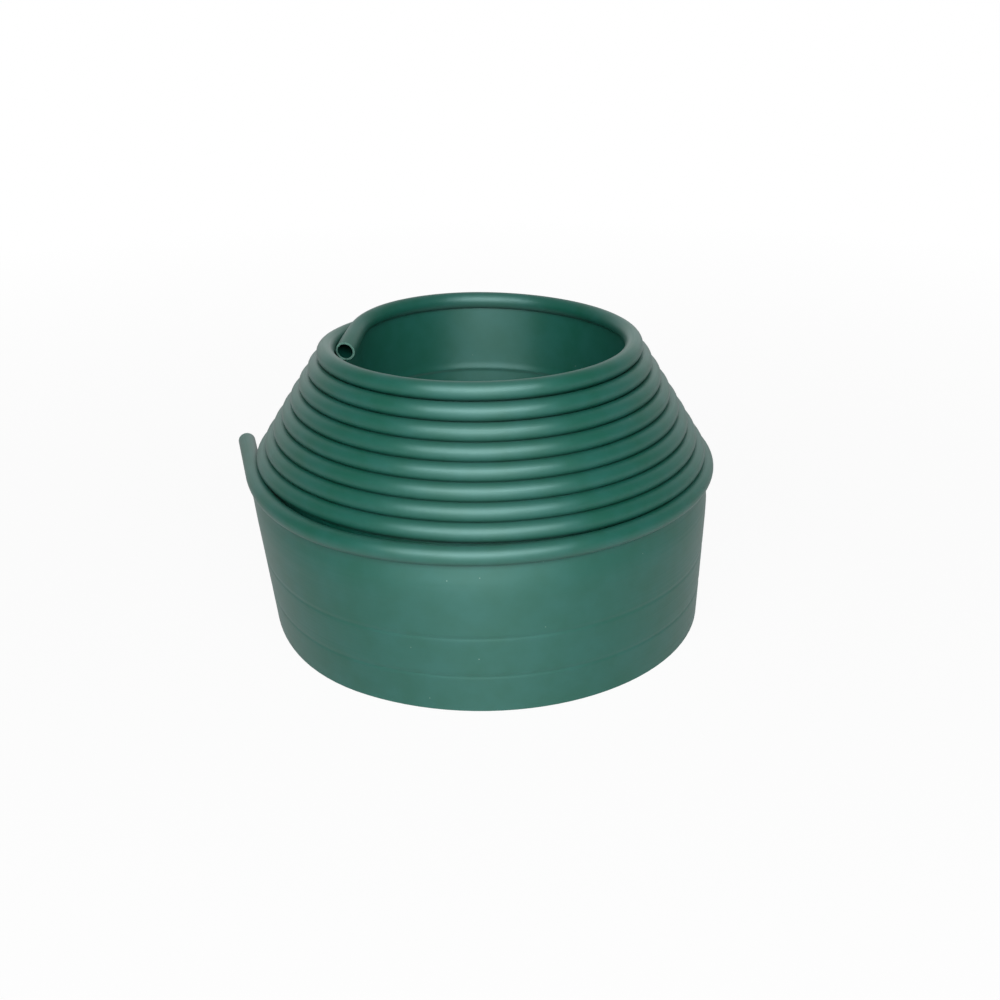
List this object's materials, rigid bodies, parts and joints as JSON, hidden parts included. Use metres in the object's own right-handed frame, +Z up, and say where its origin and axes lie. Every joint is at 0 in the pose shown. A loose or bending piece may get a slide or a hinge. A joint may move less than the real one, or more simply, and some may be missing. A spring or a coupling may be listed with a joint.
{
  "type": "lawn edging roll",
  "caption": "Coiled roll of plastic lawn edging: a thin flat blade with a hollow round bead along its top edge, wound so that the beads stack into a cone.",
  "frame": {"origin": "the winding's axis at floor level, in the middle of the open eye", "axes": "+Z up along the winding's axis; -X at the side where the inner end starts, with the straight outer end on that side too; the strip runs clockwise from above"},
  "size_m": [0.4383, 0.4151, 0.2585],
  "materials": {
    "polyethylene": "satin"
  },
  "bodies": {
    "root": {"bead_tube": "polyethylene", "inner_bead_end": "polyethylene", "outer_bead_end": "polyethylene", "blade": "polyethylene", "upper_rib": "polyethylene", "lower_rib": "polyethylene"}
  },
  "joints": []
}
